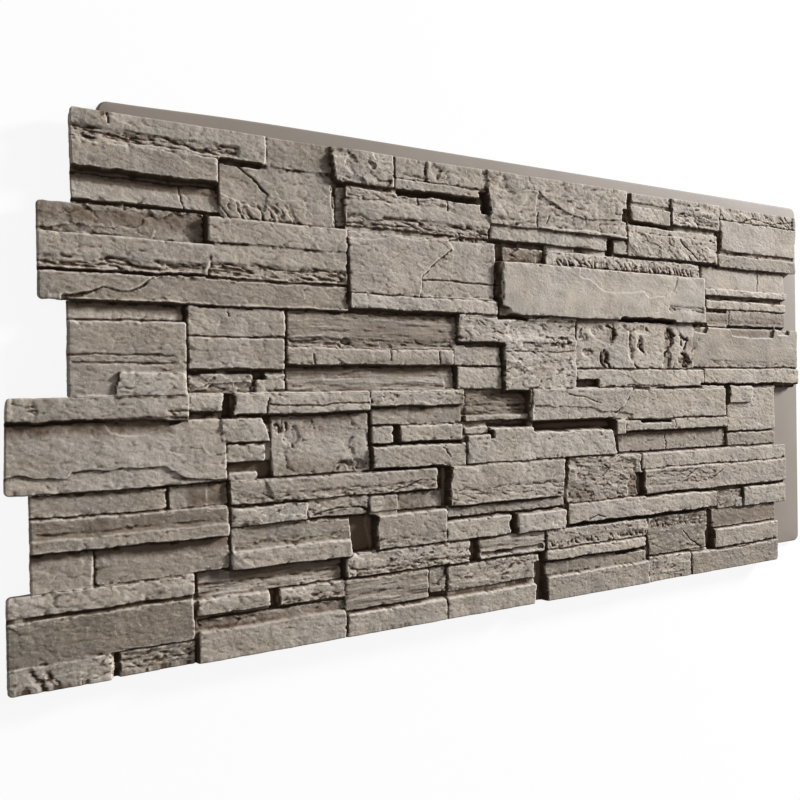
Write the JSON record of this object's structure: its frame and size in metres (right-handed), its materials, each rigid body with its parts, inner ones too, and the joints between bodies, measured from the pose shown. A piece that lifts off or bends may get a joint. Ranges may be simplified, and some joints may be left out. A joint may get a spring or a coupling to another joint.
{
  "type": "faux stone wall panel",
  "caption": "Moulded foam wall cladding panel with a stacked ledge-stone face, interlocking finger ends, and plain lap flanges along two edges.",
  "frame": {"origin": "centre of the panel's outline, on its flat back, which is the face it lies on", "axes": "+X along the courses towards the side flange, +Y up the wall towards the top flange, +Z out of the stone face"},
  "size_m": [1.328, 0.631, 0.032],
  "materials": {
    "stone_face": "matte moulded stone texture, warm grey, with dark brown joints"
  },
  "bodies": {
    "root": {"panel": "stone_face"}
  },
  "joints": []
}
